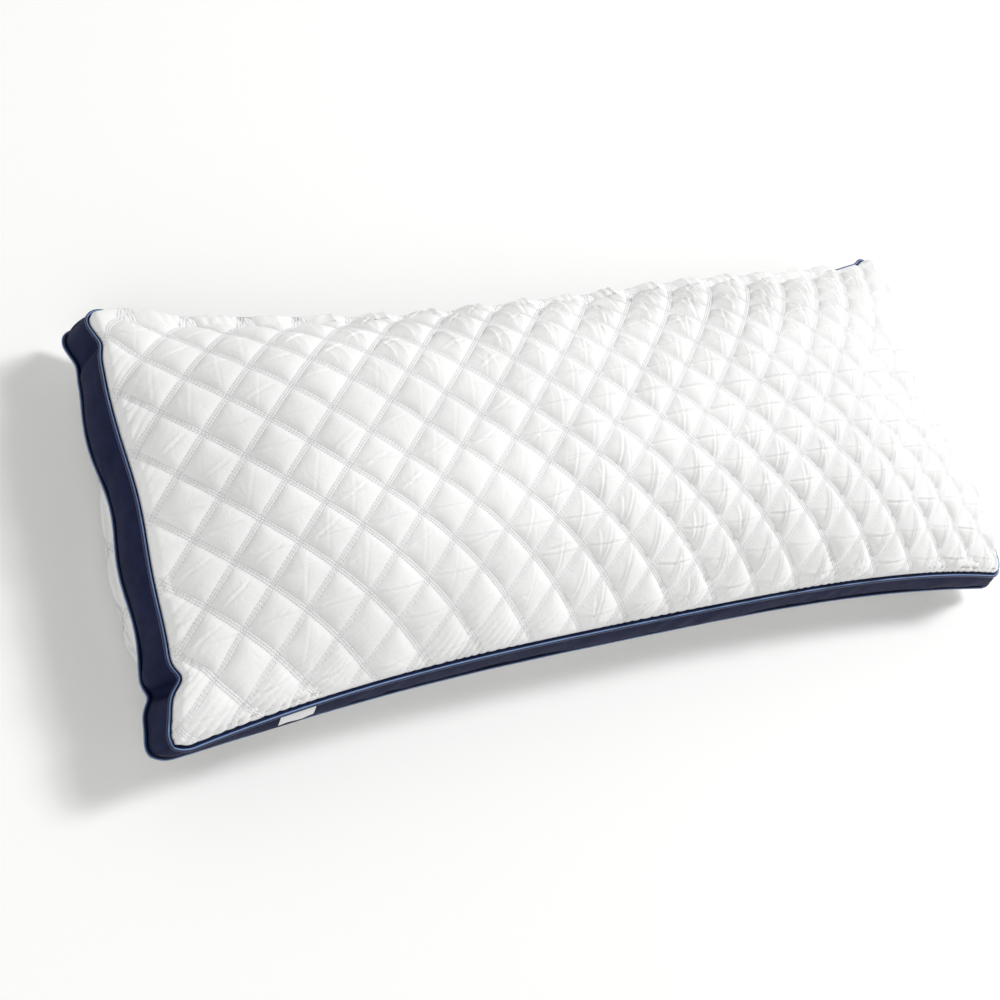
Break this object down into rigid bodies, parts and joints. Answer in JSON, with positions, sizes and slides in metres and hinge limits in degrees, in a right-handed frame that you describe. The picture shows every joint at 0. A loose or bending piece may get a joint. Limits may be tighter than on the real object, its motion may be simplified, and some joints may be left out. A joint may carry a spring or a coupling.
{
  "type": "bed pillow",
  "caption": "Long gusseted bed pillow with diamond-quilted white panels, a navy side band with corded piping at both seams, and a hanging care label.",
  "frame": {"origin": "on the surface the pillow lies on, under its middle", "axes": "+X along the pillow's length, +Y across its width, +Z out of the front quilted panel"},
  "size_m": [1.2094, 0.5062, 0.25],
  "materials": {
    "white_microfibre": "brushed matte",
    "batting": "lofty fibre",
    "backing": "non-woven",
    "quilting_thread": "spun thread",
    "navy_gusset": "smooth matte weave",
    "navy_satin": "satin weave",
    "navy_thread": "spun thread",
    "piping_cord": "spun cotton",
    "seam_thread": "spun thread",
    "fibre_fill": "lofty fibre",
    "label_tape": "smooth tape"
  },
  "bodies": {
    "pillow": {"front_face_fabric": "white_microfibre", "back_face_fabric": "white_microfibre", "front_batting": "batting", "back_batting": "batting", "front_backing": "backing", "back_backing": "backing", "front_quilting_thread": "quilting_thread", "back_quilting_thread": "quilting_thread", "gusset_band": "navy_gusset", "gusset_join_thread": "navy_thread", "front_piping_cover": "navy_satin", "back_piping_cover": "navy_satin", "front_piping_cord": "piping_cord", "back_piping_cord": "piping_cord", "front_seam_thread": "seam_thread", "back_seam_thread": "seam_thread", "closing_seam_thread": "navy_thread", "fibre_fill": "fibre_fill"},
    "label": {"care_label": "label_tape"}
  },
  "joints": [
    {"name": "label_hinge", "type": "hinge", "parent": "pillow", "child": "label", "pos_m": [-0.46993, -0.23351, 0.1126], "axis": [-0.9949, -0.1007, 0], "range_deg": [0, 80]}
  ]
}
